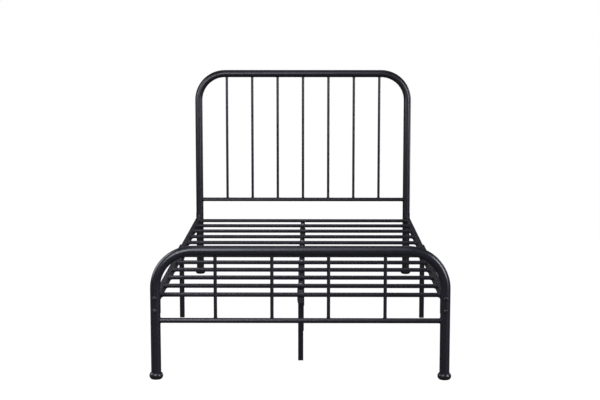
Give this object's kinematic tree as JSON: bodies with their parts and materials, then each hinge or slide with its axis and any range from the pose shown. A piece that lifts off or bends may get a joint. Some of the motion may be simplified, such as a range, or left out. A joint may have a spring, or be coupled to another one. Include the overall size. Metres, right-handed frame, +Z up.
{
  "type": "bed frame",
  "caption": "Twin-size slatted steel bed frame with bent-tube headboard and footboard, upright spindles, side rails and centre legs.",
  "frame": {"origin": "on the floor under the middle of the bed", "axes": "+X to the right seen from the foot end, +Y towards the headboard, +Z up"},
  "size_m": [1.0534, 2.0034, 0.9939],
  "materials": {
    "powder_coat": "satin black powder coat",
    "cap_plastic": "matt black moulded",
    "foot_plastic": "gloss black moulded",
    "fastener_steel": "black zinc plated"
  },
  "bodies": {
    "root": {"centre_bar_end_plugs": "cap_plastic", "centre_bar_front": "powder_coat", "centre_bar_insert": "powder_coat", "centre_bar_rear": "powder_coat", "centre_leg_1": "powder_coat", "centre_leg_2": "powder_coat", "centre_leg_3": "powder_coat", "centre_leg_4": "powder_coat", "centre_leg_bolts": "fastener_steel", "centre_leg_brackets": "powder_coat", "centre_leg_nuts": "fastener_steel", "footboard_arch": "powder_coat", "footboard_lower_rail": "powder_coat", "footboard_spindle_1": "powder_coat", "footboard_spindle_2": "powder_coat", "footboard_spindle_3": "powder_coat", "footboard_spindle_4": "powder_coat", "headboard_arch": "powder_coat", "headboard_lower_rail": "powder_coat", "headboard_spindle_1": "powder_coat", "headboard_spindle_2": "powder_coat", "headboard_spindle_3": "powder_coat", "headboard_spindle_4": "powder_coat", "headboard_spindle_5": "powder_coat", "headboard_spindle_6": "powder_coat", "headboard_spindle_7": "powder_coat", "leg_glides": "cap_plastic", "post_bolt_nuts": "fastener_steel", "post_bolt_washers": "fastener_steel", "post_bolts": "fastener_steel", "post_foot_front_left": "foot_plastic", "post_foot_front_right": "foot_plastic", "post_foot_rear_left": "foot_plastic", "post_foot_rear_right": "foot_plastic", "rail_end_brackets": "powder_coat", "rail_joiner_bolts": "fastener_steel", "rail_joiner_nuts": "fastener_steel", "side_leg_left": "powder_coat", "side_leg_right": "powder_coat", "side_rail_front_left": "powder_coat", "side_rail_front_right": "powder_coat", "side_rail_joiner_left": "powder_coat", "side_rail_joiner_right": "powder_coat", "side_rail_rear_left": "powder_coat", "side_rail_rear_right": "powder_coat", "slat_01": "powder_coat", "slat_02": "powder_coat", "slat_03": "powder_coat", "slat_04": "powder_coat", "slat_05": "powder_coat", "slat_06": "powder_coat", "slat_07": "powder_coat", "slat_08": "powder_coat", "slat_09": "powder_coat", "slat_10": "powder_coat", "slat_11": "powder_coat", "slat_12": "powder_coat", "slat_end_caps_left": "cap_plastic", "slat_end_caps_right": "cap_plastic"}
  },
  "joints": []
}
